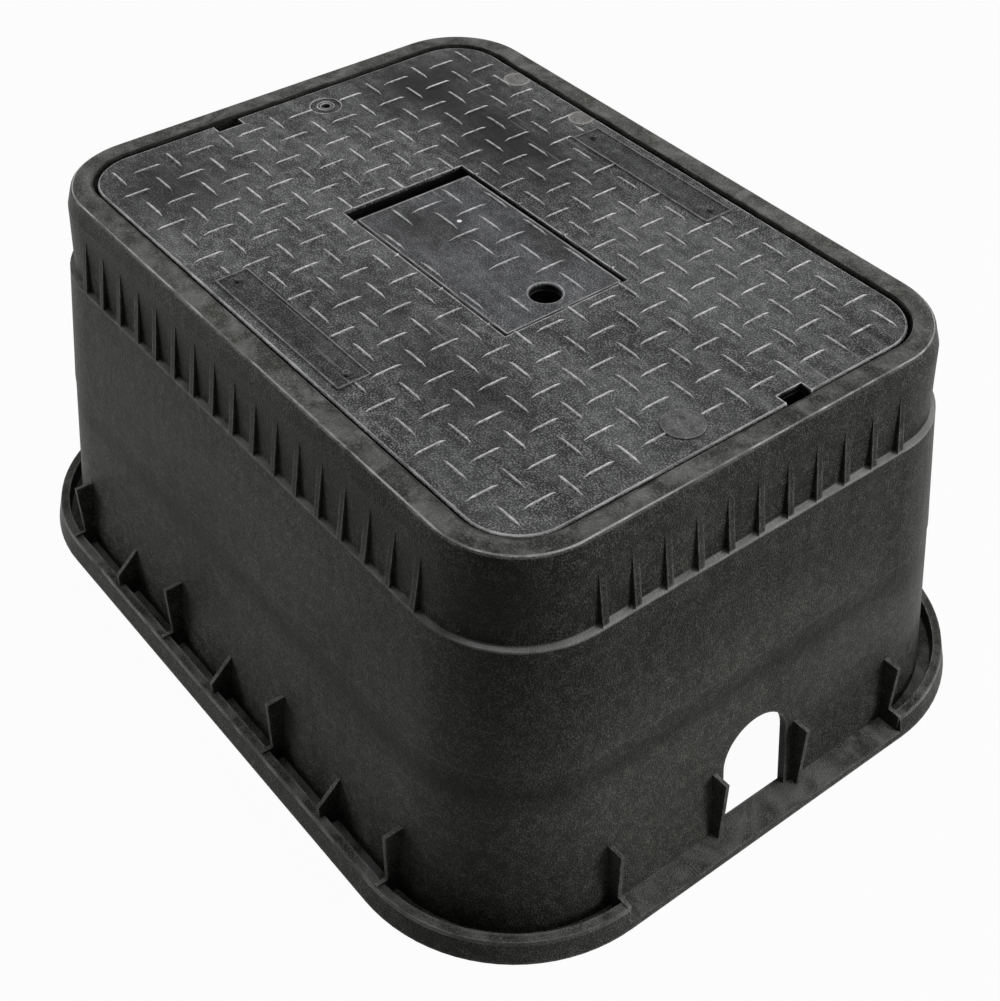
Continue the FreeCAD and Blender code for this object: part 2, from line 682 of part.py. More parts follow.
def cover_tread():
    """Bars along X and along Y by turns, except on the door, the panels, the dish and the disc."""
    columns, rows = int(value("sizes.cover_tread_columns")), int(value("sizes.cover_tread_rows"))
    pitch_long, pitch_wide = value("sizes.cover_tread_pitch_long"), value("sizes.cover_tread_pitch_wide")
    layouts = []
    for column_shift in (0, 1):
        for row_shift in (0, 1):
            first = (-(columns - column_shift) * pitch_long, -(rows - row_shift) * pitch_wide)
            counts = (columns + 1 - column_shift, rows + 1 - row_shift)
            lengthwise = column_shift == row_shift
            layouts.append((lengthwise, first, counts, (2 * pitch_long, 2 * pitch_wide)))

    top, height = value(cover_top), 2 * value("sizes.bar_height")
    reach, near, far = value("sizes.panel_half_length"), value("sizes.panel_near"), value("sizes.panel_far")
    panel = Part.makeBox(2 * reach, far - near, height, FreeCAD.Vector(-reach, near, top))
    other_panel = Part.makeBox(2 * reach, far - near, height, FreeCAD.Vector(-reach, -far, top))
    door_length, door_width = value("sizes.door_opening_length"), value("sizes.door_opening_width")
    corner = FreeCAD.Vector(-door_length / 2, -door_width / 2, top)
    opening = Part.makeBox(door_length, door_width, height, corner)
    dish_place = FreeCAD.Vector(-columns * pitch_long, pitch_wide, top)
    disc_place = FreeCAD.Vector(columns * pitch_long, -pitch_wide, top)
    dish = Part.makeCylinder(value("sizes.dish_radius"), height, dish_place)
    disc = Part.makeCylinder(value("sizes.disc_radius"), height, disc_place)
    bare = [panel, other_panel, opening, dish, disc]
    return tread_object("cover_tread", layouts, value("sizes.cover_bar_length"), top, bare)


def cut_door_opening(body):
    half = "sizes.door_opening_length / 2"
    breadth = "sizes.door_opening_width / 2"
    ledge_top = f"({door_bottom} - sizes.door_seat_gap)"

    opening = new_sketch(body, "door_opening_outline", offset=cover_top)
    draw_rectangle(opening, minus(half), half, minus(breadth), breadth)
    pocket(body, "door_opening", opening, f"{cover_top} - {ledge_top}")

    # The ledge under the door leaves its hinge end free to swing down
    inner = f"({breadth} - sizes.door_ledge_width)"
    swing_end = f"({pin_along} + sizes.door_depth)"
    well = new_sketch(body, "door_well_outline", offset=ledge_top)
    draw_polygon(well, [
        (minus(half), minus(breadth)),
        (swing_end, minus(breadth)),
        (swing_end, minus(inner)),
        (f"{half} - sizes.door_ledge_width", minus(inner)),
        (f"{half} - sizes.door_ledge_width", inner),
        (swing_end, inner),
        (swing_end, breadth),
        (minus(half), breadth),
    ])
    pocket(body, "door_well", well, "2 * sizes.door_ledge_thickness")


def add_panels(body):
    """Two bare panels in thin raised frames, with a small stub at each end."""
    reach = "sizes.panel_half_length"

    line = "sizes.panel_line_width"
    frame = new_sketch(body, "panel_frame_outline", offset=cover_top)
    inner_reach = f"{reach} - {line}"
    for near, far in (("sizes.panel_near", "sizes.panel_far"), ("-sizes.panel_far", "-sizes.panel_near")):
        draw_rectangle(frame, minus(reach), reach, near, far)
        draw_rectangle(frame, minus(inner_reach), inner_reach, f"{near} + {line}", f"{far} - {line}")
    pad(body, "panel_frames", frame, "sizes.panel_line_height")

    stubs = new_sketch(body, "panel_stub_outline", offset=cover_top)
    middle = "(sizes.panel_near + sizes.panel_far) / 2"
    for along in ("sizes.stub_offset", "-sizes.stub_offset"):
        for across in (middle, minus(middle)):
            draw_circle(stubs, "sizes.stub_radius", along, across)
    pad(body, "panel_stubs", stubs, "sizes.stub_height")


def add_bolt_dish_and_disc(body):
    """The bolt dish and the plain disc take the places of two bars of the tread."""
    along = "sizes.cover_tread_columns * sizes.cover_tread_pitch_long"
    across = "sizes.cover_tread_pitch_wide"

    disc = new_sketch(body, "disc_outline", offset=cover_top)
    draw_circle(disc, "sizes.disc_radius", along, minus(across))
    pad(body, "disc", disc, "sizes.disc_height")

    dish = new_sketch(body, "dish_outline", offset=cover_top)
    draw_circle(dish, "sizes.dish_radius - sizes.dish_depth", minus(along), across)
    draw_circle(dish, "sizes.bolt_ring_radius", minus(along), across)
    pocket(body, "bolt_dish", dish, "sizes.dish_depth")
    hole = new_sketch(body, "bolt_hole_outline", offset=cover_top)
    draw_circle(hole, "sizes.bolt_hole_radius", minus(along), across)
    pocket(body, "bolt_hole", hole, "sizes.cover_plate + sizes.cover_rib_depth")


def cut_pry_notches(body):
    notches = new_sketch(body, "notch_outline", offset=cover_top)
    outer = f"{cover_half_length} + sizes.cover_gap"
    inner = f"{cover_half_length} - sizes.notch_depth"
    draw_rectangle(notches, inner, outer, "sizes.notch_near", "sizes.notch_far")
    draw_rectangle(notches, minus(outer), minus(inner), "-sizes.notch_far", "-sizes.notch_near")
    pocket(body, "pry_notches", notches, f"{cover_top} - {seat_level}")


# The reader door: a shallow tray upside down, with two stub pins at its hinge end
def build_reader_door():
    body = new_body("reader_door_moulding")

    pins = new_sketch(body, "pin_outline", "XZ_Plane")
    draw_circle(pins, "sizes.pin_radius", pin_along, pin_level)
    pad(body, "pins", pins, f"2 * ({frame_half_width} - sizes.pin_end_gap)", middle=True)

    outline = new_sketch(body, "door_outline", offset=door_bottom)
    draw_rectangle(outline, door_hinge_end, door_free_end, minus(door_half_width), door_half_width)
    block = pad(body, "door_block", outline, "sizes.door_depth")
    doc.recompute()

    free_end = value(door_free_end)
    top = value(door_top)
    corners = edges_where(block, lambda edge: all(abs(v.Point.x - free_end) < 0.01 for v in edge.Vertexes)
                          and abs(edge.Vertexes[0].Point.z - edge.Vertexes[-1].Point.z) > 1)
    rounded = round_edges(body, "door_corners", block, corners, "sizes.door_corner_round")
    doc.recompute()
    top_edges = edges_where(rounded, lambda edge: lies_at(edge, top))
    chamfer_edges(body, "door_edge", rounded, top_edges, "sizes.door_edge_chamfer")

    hollow = new_sketch(body, "door_hollow_outline", offset=f"{door_top} - sizes.door_plate")
    side = f"({door_half_width} - sizes.door_skirt)"
    hinge_side = f"({door_hinge_end} + sizes.door_skirt)"
    free_side = f"({door_free_end} - sizes.door_skirt)"
    draw_rectangle(hollow, hinge_side, free_side, minus(side), side)
    pocket(body, "door_hollow", hollow, "sizes.door_depth - sizes.door_plate")

    hole = new_sketch(body, "finger_hole_outline", offset=door_top)
    draw_circle(hole, "sizes.finger_hole_radius", f"{door_free_end} - sizes.finger_hole_inset", "0")
    hole_cut = pocket(body, "finger_hole", hole, "sizes.door_plate")
    doc.recompute()
    radius = value("sizes.finger_hole_radius")
    rim = edges_where(hole_cut, lambda edge: hasattr(edge.Curve, "Radius") and lies_at(edge, top)
                      and abs(edge.Curve.Radius - radius) < 0.01)
    chamfer_edges(body, "finger_hole_edge", hole_cut, rim, "sizes.door_edge_chamfer")
    return join("reader_door", [body, door_tread()])


def door_tread():
    """Bars on a square lattice, fewer in the row where the door has its bare place."""
    pitch = value("sizes.door_tread_pitch")
    middle = value(door_middle) - value("sizes.door_tread_shift")
    # lengthwise, first column, first row, columns, rows, column step, row step
    places = [
        (True, -2, -2, 3, 2, 2, 4),
        (False, -2, 1, 3, 1, 2, 1),
        (True, -3, 1, 4, 1, 2, 1),
        (False, -3, 0, 3, 1, 2, 1),
        (True, -2, 0, 2, 1, 2, 1),
        (True, -3, -1, 2, 1, 6, 1),
    ]
    layouts = []
    for lengthwise, column, row, columns, rows, column_step, row_step in places:
        first = (middle + column * pitch, row * pitch)
        layouts.append((lengthwise, first, (columns, rows), (column_step * pitch, row_step * pitch)))
    return tread_object("door_tread", layouts, value("sizes.door_bar_length"), value(door_top), [])


pieces = [build_box_body(), build_cover(), build_reader_door()]
doc.recompute()

# Every object must have computed, and every piece must be one valid solid
for item in doc.Objects:
    if "Invalid" in item.State or "Error" in item.State:
        raise RuntimeError(f"{item.Name} did not compute")
for piece in pieces:
    if piece.Shape.isNull() or not piece.Shape.isValid() or len(piece.Shape.Solids) != 1:
        raise RuntimeError(f"{piece.Label} is not one valid solid")

# Each cut must take material away, and each addition must add some
for body in doc.findObjects("PartDesign::Body"):
    before = 0.0
    for feature in body.Group:
        if not hasattr(feature, "BaseFeature") or feature.Shape.isNull():
            continue
        after = feature.Shape.Volume
        cuts = feature.TypeId.split("::")[1] in ("Pocket", "SubtractiveLoft", "Fillet", "Chamfer")
        if (after >= before) if cuts else (after <= before):
            raise RuntimeError(f"{feature.Name} changed nothing")
        before = after

os.makedirs("parts", exist_ok=True)
for piece in pieces:
    piece.Shape.exportStep(f"parts/{piece.Label}.step")
    print(piece.Label, round(piece.Shape.Volume / 1000), "cm3", len(piece.Shape.Faces), "faces")
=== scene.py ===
import math
import bpy
from mathutils import Matrix, Vector

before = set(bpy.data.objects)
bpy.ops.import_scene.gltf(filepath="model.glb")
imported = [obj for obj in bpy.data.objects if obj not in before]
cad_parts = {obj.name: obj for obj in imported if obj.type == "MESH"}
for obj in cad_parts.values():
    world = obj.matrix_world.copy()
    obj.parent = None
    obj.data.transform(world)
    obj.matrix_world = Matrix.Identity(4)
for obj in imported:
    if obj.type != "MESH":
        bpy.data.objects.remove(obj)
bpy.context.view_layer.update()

print("frame loaded")


def addNode(tree, kind, **settings):
    node = tree.nodes.new(kind)
    for name, setting in settings.items():
        setattr(node, name, setting)
    return node


def link(tree, source, target):
    tree.links.new(source, target)


def feed(tree, entry, socket):  # a number or a tuple is set on the socket, anything else is linked
    if isinstance(entry, (int, float, tuple)):
        socket.default_value = entry
    else:
        link(tree, entry, socket)


def addMath(tree, operation, first, second=None, clamp=False):
    node = addNode(tree, "ShaderNodeMath", operation=operation, use_clamp=clamp)
    feed(tree, first, node.inputs[0])
    if second is not None:
        feed(tree, second, node.inputs[1])
    return node.outputs[0]


def multiply(tree, first, second, clamp=False):
    return addMath(tree, "MULTIPLY", first, second, clamp)


def leftOver(tree, amount):
    return addMath(tree, "SUBTRACT", 1.0, amount)


def addVector(tree, operation, first, second=None):
    node = addNode(tree, "ShaderNodeVectorMath", operation=operation)
    feed(tree, first, node.inputs[0])
    if second is not None:
        feed(tree, second, node.inputs[1])
    return node.outputs["Value"] if operation in ("LENGTH", "DISTANCE") else node.outputs["Vector"]


def splitVector(tree, vector):
    node = addNode(tree, "ShaderNodeSeparateXYZ")
    link(tree, vector, node.inputs["Vector"])
    return node.outputs


def addMapping(tree, vector, **settings):
    node = addNode(tree, "ShaderNodeMapping")
    for name, entry in settings.items():
        node.inputs[name].default_value = entry
    link(tree, vector, node.inputs["Vector"])
    return node.outputs["Vector"]


def addRange(tree, source, span, becomes=(0.0, 1.0)):
    node = addNode(tree, "ShaderNodeMapRange", clamp=True)
    link(tree, source, node.inputs["Value"])
    for name, entry in zip(("From Min", "From Max", "To Min", "To Max"), (*span, *becomes)):
        feed(tree, entry, node.inputs[name])
    return node.outputs["Result"]


def addNoise(tree, vector, scale, detail, distortion=0.0):
    node = addNode(tree, "ShaderNodeTexNoise")
    link(tree, vector, node.inputs["Vector"])
    feed(tree, scale, node.inputs["Scale"])
    node.inputs["Detail"].default_value = detail
    node.inputs["Distortion"].default_value = distortion
    return node.outputs["Fac"]


def shiftedNoise(tree, vector, values):  # noise times its depth, with its middle brought to zero
    noise = multiply(tree, addNoise(tree, vector, *values["noise"]), values["depth"])
    return addMath(tree, "SUBTRACT", noise, values["depth"] / 2)


def mixColours(tree, amount, first, second):
    node = addNode(tree, "ShaderNodeMix", data_type="RGBA")
    link(tree, amount, node.inputs["Factor"])
    colours = [socket for socket in node.inputs if socket.type == "RGBA"]
    for socket, entry in zip(colours, (first, second)):
        feed(tree, (*entry, 1.0) if isinstance(entry, tuple) else entry, socket)
    return [socket for socket in node.outputs if socket.type == "RGBA"][0]


def newGroup(name, inputs, outputs):
    group = bpy.data.node_groups.new(name, "ShaderNodeTree")
    for label, start in inputs.items():
        kind = "NodeSocketFloat" if isinstance(start, float) else "NodeSocketVector"
        socket = group.interface.new_socket(label, in_out="INPUT", socket_type=kind)
        if start is not None:
            socket.default_value = start
    for label in outputs:
        group.interface.new_socket(label, in_out="OUTPUT", socket_type="NodeSocketFloat")
    given = addNode(group, "NodeGroupInput").outputs
    result = addNode(group, "NodeGroupOutput").inputs
    return group, given, result


def useGroup(tree, group, **entries):
    node = addNode(tree, "ShaderNodeGroup", node_tree=group)
    for name, entry in entries.items():
        feed(tree, entry, node.inputs[name])
    return node.outputs


falling = (1.0, 0.0)  # what a range becomes, for a mask that is full at the start of its span
fromAbove = (1.0, 1.0, 0.0)  # leaves the height out

# in every group a noise is its scale, detail and distortion, and a span is a start and an end
grainSet = {
    "noiseMiddle": 0.5,
    "fineDetail": 2.0,
    "wideShare": 0.16,
    "wideDetail": 3.0,
    "wideDepth": 0.35,
    "speckAndGlintSpan": (0.47, 0.71),
}


# the colour value gives pale grain specks, which also stand for painted glints
def grainGroup():  # fine moulded grain: a value for the colour and a height for the bump
    group, given, result = newGroup(
        "plasticGrain", {"Vector": None, "Scale": 800.0}, ["Speck", "Height"]
    )
    fine = addNoise(group, given["Vector"], given["Scale"], grainSet["fineDetail"])
    wideScale = multiply(group, given["Scale"], grainSet["wideShare"])
    wide = addNoise(group, given["Vector"], wideScale, grainSet["wideDetail"])
    shift = addMath(group, "SUBTRACT", wide, grainSet["noiseMiddle"])
    shift = multiply(group, shift, grainSet["wideDepth"])
    both = addMath(group, "ADD", fine, shift)
    link(group, addRange(group, both, grainSet["speckAndGlintSpan"]), result["Speck"])
    link(group, both, result["Height"])
    return group


# the scale comes in from the material, so this is the detail and distortion alone
cloudSet = {"build": (6.0, 0.9), "softness": 0.13}


def cloudGroup():  # wide soft patches of pale film
    group, given, result = newGroup(
        "plasticClouds", {"Vector": None, "Scale": 6.0, "Cover": 0.5}, ["Mask"]
    )
    cloud = addNoise(group, given["Vector"], given["Scale"], *cloudSet["build"])
    middle = leftOver(group, given["Cover"])
    low = addMath(group, "SUBTRACT", middle, cloudSet["softness"])
    high = addMath(group, "ADD", middle, cloudSet["softness"])
    link(group, addRange(group, cloud, (low, high)), result["Mask"])
    return group


patchSet = {"noise": (28.0, 7.0, 0.5), "depth": 0.9}


def patchGroup():  # one soft patch with a ragged edge, at its own place
    group, given, result = newGroup(
        "softPatch",
        {"Vector": None, "Centre": (0.0, 0.0, 0.0), "Narrowing": (10.0, 10.0, 0.0), "Edge": 0.5},
        ["Mask"],
    )
    away = addVector(group, "SUBTRACT", given["Vector"], given["Centre"])
    span = addVector(group, "LENGTH", addVector(group, "MULTIPLY", away, given["Narrowing"]))
    uneven = addMath(group, "ADD", span, shiftedNoise(group, given["Vector"], patchSet))
    low = leftOver(group, given["Edge"])
    link(group, addRange(group, uneven, (low, 1.0), falling), result["Mask"])
    return group


streakSet = {"build": (8.0, 0.7), "span": (0.44, 0.70)}


def streakGroup():  # rubbed streaks along one way, turned by a Mapping before they come in
    group, given, result = newGroup("plasticStreaks", {"Vector": None, "Scale": 10.0}, ["Mask"])
    streak = addNoise(group, given["Vector"], given["Scale"], *streakSet["build"])
    link(group, addRange(group, streak, streakSet["span"]), result["Mask"])
    return group


wearAndHighlightSet = {
    "rays": 6,
    "edgeSpan": (0.10, 0.55),
    "noise": (95.0, 4.0),
    "brokenSpan": (0.34, 0.62),
    "brokenShare": (0.25, 1.0),
}


def wearAndHighlightGroup():  # outward edges rubbed pale and given painted highlights, broken up along their length
    group, given, result = newGroup("edgeWearAndHighlight", {"Vector": None, "Width": 0.0015}, ["Mask"])
    inside = addNode(
        group, "ShaderNodeAmbientOcclusion", samples=wearAndHighlightSet["rays"], inside=True, only_local=True
    )
    link(group, given["Width"], inside.inputs["Distance"])
    wornAndHighlight = addRange(group, leftOver(group, inside.outputs["AO"]), wearAndHighlightSet["edgeSpan"])
    noise = addNoise(group, given["Vector"], *wearAndHighlightSet["noise"])
    broken = addRange(group, noise, wearAndHighlightSet["brokenSpan"], wearAndHighlightSet["brokenShare"])
    link(group, multiply(group, wornAndHighlight, broken, clamp=True), result["Mask"])
    return group


upSet = {
    "facingSpan": (0.45, 0.90),
    "noise": (26.0, 8.0, 1.6),
    "patchySpan": (0.42, 0.66),
    "patchyShare": (0.04, 1.0),
}


def upGroup():  # paler in patches on what faces up: painted top light
    group, given, result = newGroup("paintedTopLight", {"Vector": None, "Normal": None}, ["Mask"])
    facing = addRange(group, splitVector(group, given["Normal"])["Z"], upSet["facingSpan"])
    noise = addNoise(group, given["Vector"], *upSet["noise"])
    patchy = addRange(group, noise, upSet["patchySpan"], upSet["patchyShare"])
    link(group, multiply(group, facing, patchy, clamp=True), result["Mask"])
    return group


raisedSet = {"noise": (240.0, 5.0), "brokenSpan": (0.32, 0.60), "brokenShare": (0.25, 1.0)}


def raisedGroup():  # what stands above a level of the piece is rubbed pale
    group, given, result = newGroup(
        "rubbedTops", {"Vector": None, "Low": 0.0, "High": 1.0, "Top": 2.0}, ["Mask"]
    )
    level = splitVector(group, given["Vector"])["Z"]
    risen = addRange(group, level, (given["Low"], given["High"]))
    risen = multiply(group, risen, addMath(group, "LESS_THAN", level, given["Top"]))
    noise = addNoise(group, given["Vector"], *raisedSet["noise"])
    broken = addRange(group, noise, raisedSet["brokenSpan"], raisedSet["brokenShare"])
    link(group, multiply(group, risen, broken, clamp=True), result["Mask"])
    return group


def outlineGroup():  # how far a point lies outside an outline with round corners, seen from above
    group, given, result = newGroup(
        "roundOutline",
        {"Vector": None, "Middle": (0.0, 0.0, 0.0), "Core": (0.1, 0.1, 0.0), "Radius": 0.01},
        ["Distance"],
    )
    away = addVector(group, "SUBTRACT", given["Vector"], given["Middle"])
    flat = addVector(group, "MULTIPLY", away, fromAbove)
    past = addVector(group, "SUBTRACT", addVector(group, "ABSOLUTE", flat), given["Core"])
    beyond = addVector(group, "LENGTH", addVector(group, "MAXIMUM", past))
    parts = splitVector(group, past)
    inside = addMath(group, "MINIMUM", addMath(group, "MAXIMUM", parts["X"], parts["Y"]), 0.0)
    both = addMath(group, "ADD", beyond, inside)
    link(group, addMath(group, "SUBTRACT", both, given["Radius"]), result["Distance"])
    return group


lineSet = {
    "edgeNoise": {"noise": (130.0, 4.0), "depth": 0.8},
    "nearSpan": (0.55, 1.15),
    "noise": (24.0, 9.0, 1.6),
    "brokenSpan": (0.38, 0.64),
    "brokenShare": (0.20, 1.0),
}


def lineGroup():  # a line along an outline, between two levels, broken up along its length
    group, given, result = newGroup(
        "lineAlongOutline",
        {"Vector": None, "Distance": 0.0, "Offset": 0.0, "Width": 0.001, "Low": 0.0, "High": 1.0},
        ["Mask"],
    )
    away = addMath(group, "SUBTRACT", given["Distance"], given["Offset"])
    away = addMath(group, "ABSOLUTE", away)
    wobble = shiftedNoise(group, given["Vector"], lineSet["edgeNoise"])
    share = addMath(group, "ADD", addMath(group, "DIVIDE", away, given["Width"]), wobble)
    near = addRange(group, share, lineSet["nearSpan"], falling)
    level = splitVector(group, given["Vector"])["Z"]
    over = addMath(group, "GREATER_THAN", level, given["Low"])
    under = addMath(group, "LESS_THAN", level, given["High"])
    noise = addNoise(group, given["Vector"], *lineSet["noise"])
    broken = addRange(group, noise, lineSet["brokenSpan"], lineSet["brokenShare"])
    between = multiply(group, near, multiply(group, over, under))
    link(group, multiply(group, between, broken), result["Mask"])
    return group


# each way of the scratches is a turn and a shift of the noise
scratchSet = {
    "ways": ((0.55, 3.0), (-0.9, 7.0), (1.35, 11.0)),
    "stretch": (14.0, 420.0, 40.0),
    "noise": (1.0, 2.0, 0.25),
    "span": (0.66, 0.74),
    "whereNoise": (14.0, 3.0),
    "whereSpan": (0.45, 0.62),
}


def scratchGroup():  # thin scratches, each lot along its own way
    group, given, result = newGroup("thinScratches", {"Vector": None}, ["Mask"])
    total = None
    for turn, shift in scratchSet["ways"]:
        turned = addMapping(
            group,
            given["Vector"],
            Rotation=(0.0, 0.0, turn),
            Location=(shift, shift, 0.0),
            Scale=scratchSet["stretch"],
        )
        lines = addRange(group, addNoise(group, turned, *scratchSet["noise"]), scratchSet["span"])
        total = lines if total is None else addMath(group, "MAXIMUM", total, lines)
    noise = addNoise(group, given["Vector"], *scratchSet["whereNoise"])
    where = addRange(group, noise, scratchSet["whereSpan"])
    link(group, multiply(group, total, where), result["Mask"])
    return group


spotSet = {
    "lighterTone": (0.17, 0.165, 0.155),
    "filmMix": 0.55,
    "ring": (0.26, 0.255, 0.24),
    "ringMix": 0.6,
    "edgeNoise": {"noise": (160.0, 3.0), "depth": 0.22},
    "edgeSpan": (0.86, 1.02),
    "noise": (420.0, 4.0),
    "mottledSpan": (0.30, 0.66),
    "mottledShare": (0.35, 1.0),
    "ringPlace": 0.90,
    "ringSpan": (0.02, 0.13),
}


def spotGroup():  # one dried round mark with a pale ring
    group, given, result = newGroup(
        "driedSpot",
        {"Vector": None, "Centre": (0.0, 0.0, 0.0), "Radius": 0.01},
        ["Body", "Ring"],
    )
    flat = addVector(group, "MULTIPLY", given["Vector"], fromAbove)
    away = addVector(group, "DISTANCE", flat, given["Centre"])
    share = addMath(group, "DIVIDE", away, given["Radius"])
    wobble = shiftedNoise(group, given["Vector"], spotSet["edgeNoise"])
    uneven = addMath(group, "ADD", share, wobble)
    body = addRange(group, uneven, spotSet["edgeSpan"], falling)
    noise = addNoise(group, given["Vector"], *spotSet["noise"])
    mottled = addRange(group, noise, spotSet["mottledSpan"], spotSet["mottledShare"])
    link(group, multiply(group, body, mottled), result["Body"])
    offRing = addMath(group, "ABSOLUTE", addMath(group, "SUBTRACT", uneven, spotSet["ringPlace"]))
    link(group, addRange(group, offRing, spotSet["ringSpan"], falling), result["Ring"])
    return group


groups = {
    "grain": grainGroup(),
    "cloud": cloudGroup(),
    "patch": patchGroup(),
    "streak": streakGroup(),
    "wearAndHighlight": wearAndHighlightGroup(),
    "up": upGroup(),
    "raised": raisedGroup(),
    "outline": outlineGroup(),
    "line": lineGroup(),
    "scratch": scratchGroup(),
    "spot": spotGroup(),
}
print("node groups made")


def addDistance(tree, where, outline):
    middle, half, radius = outline
    core = (half[0] - radius, half[1] - radius, 0.0)
    entries = {"Vector": where, "Middle": middle, "Core": core, "Radius": radius}
    return useGroup(tree, groups["outline"], **entries)["Distance"]


# how the effects of every plastic work on one another
blendSet = {
    "grainOffFilm": (0.62, 1.0),
    "calmEdge": (-0.0004, 0.0004),
    "calmMix": 0.45,
    "calmWearAndHighlightLess": 0.80,
    "deepShadeMix": 0.9,
    "streakSpan": (0.0, 0.8),
    "raisedOffStreak": (0.60, 1.0),
    "roughCloudShare": 0.5,
}


def makePlastic(name, values, marks):
    material = bpy.data.materials.new(name)
    material.use_nodes = True
    tree = material.node_tree
    tree.nodes.clear()
    shader = addNode(tree, "ShaderNodeBsdfPrincipled")
    output = addNode(tree, "ShaderNodeOutputMaterial")
    link(tree, shader.outputs["BSDF"], output.inputs["Surface"])
    shader.inputs["Specular IOR Level"].default_value = values["specular"]
    place = addNode(tree, "ShaderNodeTexCoord")
    where = place.outputs["Object"]

    def tint(under, mask, share, tone):
        return mixColours(tree, multiply(tree, mask, share), under, tone)

    grain = useGroup(tree, groups["grain"], Vector=where, Scale=values["grainScale"])
    clouds = useGroup(
        tree, groups["cloud"], Vector=where, Scale=values["cloudScale"], Cover=values["cloudCover"]
    )["Mask"]
    turned = addMapping(tree, where, Rotation=values["streakTurn"], Scale=values["streakStretch"])
    streaks = useGroup(tree, groups["streak"], Vector=turned, Scale=values["streakScale"])["Mask"]
    wearAndHighlight = useGroup(tree, groups["wearAndHighlight"], Vector=where, Width=values["wearAndHighlightWidth"])["Mask"]

    # film, streaks and the patches of this piece, then painted light on what faces up
    colour = tint(values["dark"], clouds, values["cloudMix"], values["lighterTone"])
    colour = tint(colour, streaks, values["streakMix"], values["streak"])
    grainAndGlintKept = addRange(tree, clouds, (0.0, 1.0), blendSet["grainOffFilm"])
    for centre, reach, edge, tone, amount in marks["patches"]:
        narrowing = tuple(1.0 / entry if entry else 0.0 for entry in reach)
        entries = {"Vector": where, "Centre": centre, "Narrowing": narrowing, "Edge": edge}
        patch = multiply(tree, useGroup(tree, groups["patch"], **entries)["Mask"], amount)
        colour = mixColours(tree, patch, colour, values[tone])
        if tone == "dark":
            grainAndGlintKept = multiply(tree, grainAndGlintKept, leftOver(tree, patch))
    if "upMix" in values:
        up = useGroup(tree, groups["up"], Vector=where, Normal=place.outputs["Normal"])["Mask"]
        colour = tint(colour, up, values["upMix"], values["pale"])
    specksAndGlints = multiply(tree, multiply(tree, grain["Speck"], values["grainAndGlintMix"]), grainAndGlintKept)

    # smooth places that nothing rubs, and painted shade on what lies deep
    wearAndHighlightKept, shallow = 1.0, 1.0
    for outline in marks["calm"]:
        calm = addRange(tree, addDistance(tree, where, outline), blendSet["calmEdge"], falling)
        colour = tint(colour, calm, blendSet["calmMix"], values["dark"])
        kept = leftOver(tree, multiply(tree, calm, blendSet["calmWearAndHighlightLess"]))
        wearAndHighlightKept = multiply(tree, wearAndHighlightKept, kept)
        specksAndGlints = multiply(tree, specksAndGlints, leftOver(tree, multiply(tree, calm, blendSet["calmMix"])))
    # painted shade in the finger hole's wall and the gaps, below a level
    if "deepShadeSpan" in values:
        level = splitVector(tree, where)["Z"]
        deepShade = addRange(tree, level, values["deepShadeSpan"], falling)
        shallow = leftOver(tree, deepShade)
        colour = tint(colour, deepShade, blendSet["deepShadeMix"], values["dark"])
        specksAndGlints = multiply(tree, specksAndGlints, shallow)
    # pale flecks of the grain, which are also painted glints
    colour = mixColours(tree, specksAndGlints, colour, values["fleckAndGlint"])

    # what is rubbed: raised tops, outward edges, which also carry painted highlights, and scratches
    if "raisedMix" in values:
        low, high = values["raisedSpan"]
        entries = {"Vector": where, "Low": low, "High": high, "Top": values["raisedTop"]}
        raised = multiply(tree, useGroup(tree, groups["raised"], **entries)["Mask"], wearAndHighlightKept)
        less = addRange(tree, streaks, blendSet["streakSpan"], blendSet["raisedOffStreak"])
        colour = tint(colour, multiply(tree, raised, less), values["raisedMix"], values["wornAndHighlight"])
    # outward edges: wear and painted highlight
    colour = tint(colour, multiply(tree, wearAndHighlight, wearAndHighlightKept), values["wearAndHighlightMix"], values["wornAndHighlight"])
    if "scratchMix" in values:
        scratches = multiply(tree, useGroup(tree, groups["scratch"], Vector=where)["Mask"], shallow)
        colour = tint(colour, scratches, values["scratchMix"], values["wornAndHighlight"])

    # lines along the outlines, which are painted highlights with wear on edges and painted shade in
    # gaps, and dried spots
    for outline, offset, width, (low, high), tone, amount in marks["lines"]:
        entries = {
            "Vector": where,
            "Distance": addDistance(tree, where, outline),
            "Offset": offset,
            "Width": width,
            "Low": low,
            "High": high,
        }
        line = useGroup(tree, groups["line"], **entries)["Mask"]
        colour = tint(colour, line, amount, values[tone])
    for (along, across), radius in marks.get("spots", []):
        entries = {"Vector": where, "Centre": (along, across, 0.0), "Radius": radius}
        spot = useGroup(tree, groups["spot"], **entries)
        colour = tint(colour, spot["Body"], spotSet["filmMix"], spotSet["lighterTone"])
        colour = tint(colour, spot["Ring"], spotSet["ringMix"], spotSet["ring"])
    link(tree, colour, shader.inputs["Base Color"])

    filmed = multiply(tree, clouds, blendSet["roughCloudShare"])
    rough = addMath(tree, "ADD", filmed, specksAndGlints, clamp=True)
    rough = addRange(tree, rough, (0.0, 1.0), values["roughSpan"])
    link(tree, rough, shader.inputs["Roughness"])

    bump = addNode(tree, "ShaderNodeBump")
    bump.inputs["Strength"].default_value = values["grainBump"]
    bump.inputs["Distance"].default_value = values["bumpDepth"]
    link(tree, grain["Height"], bump.inputs["Height"])
    link(tree, bump.outputs["Normal"], shader.inputs["Normal"])
    return material


def dressNode(name, material):
    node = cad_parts[name]
    if not node.material_slots:
        node.data.materials.append(material)
    for entry in node.material_slots:
        entry.link = "OBJECT"
        entry.material = material
    print(name, "dressed")
